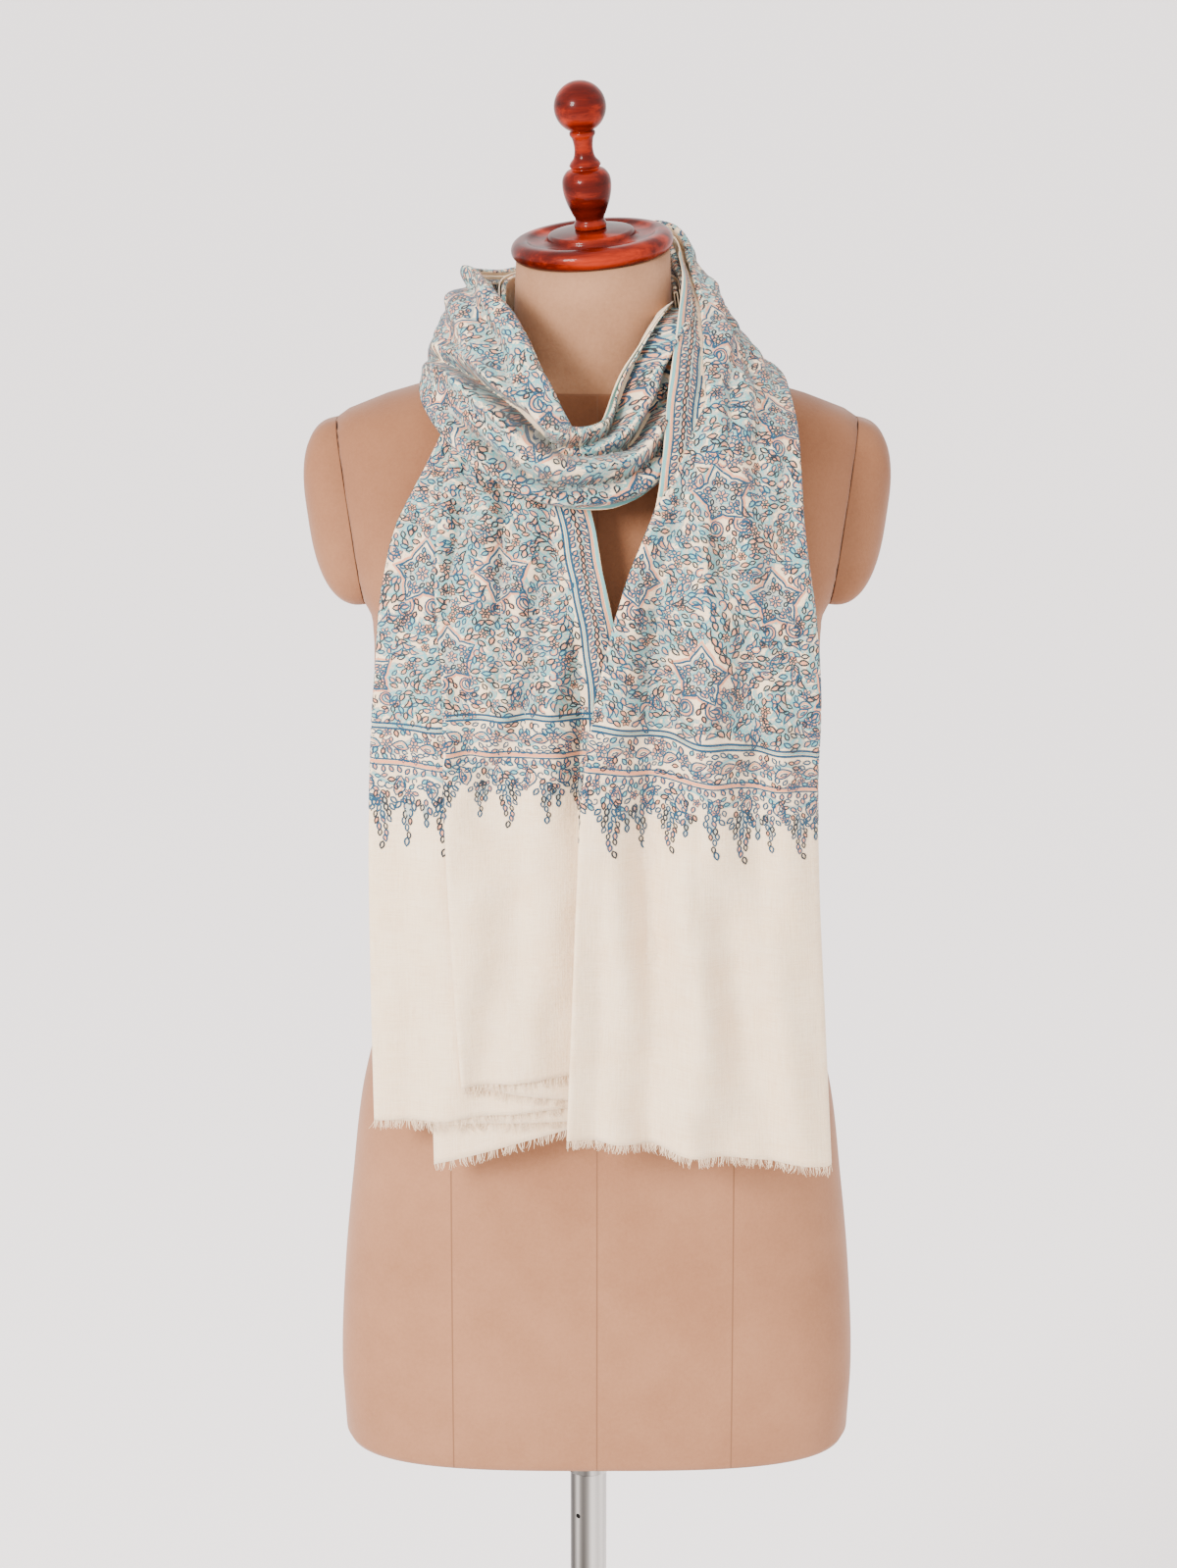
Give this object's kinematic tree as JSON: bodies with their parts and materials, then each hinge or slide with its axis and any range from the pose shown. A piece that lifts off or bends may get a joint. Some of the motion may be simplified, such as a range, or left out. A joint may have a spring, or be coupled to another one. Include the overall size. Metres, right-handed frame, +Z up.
{
  "type": "pashmina shawl on a dress form",
  "caption": "Long fine wool shawl embroidered all over, wound once round the neck of a limbless dress form on a pole and round base, its folded tails hanging in front.",
  "frame": {"origin": "on the floor, at the centre of the base plate's underside, under the pole", "axes": "+Z up along the pole; the wearer's front faces -Y, so +X is at the viewer's right"},
  "size_m": [0.44, 0.44, 1.5917],
  "materials": {
    "cloth": "fine cream wool with blue, charcoal, peach and aqua embroidery",
    "suede": "napped suede-like cover",
    "wood": "red-brown gloss varnish",
    "steel": "brushed",
    "base": "satin black"
  },
  "bodies": {
    "root": {"shawl_left_tail": "cloth", "shawl_inner_wrap": "cloth", "shawl_front_loop": "cloth", "shawl_outer_wrap": "cloth", "shawl_right_tail": "cloth", "fringe_left": "cloth", "fringe_right": "cloth", "form_torso": "suede", "form_arm_cap_left": "suede", "form_arm_cap_right": "suede", "form_neck_cap": "wood", "form_finial": "wood", "form_collar": "steel", "form_pole": "steel", "form_base": "base"}
  },
  "joints": []
}
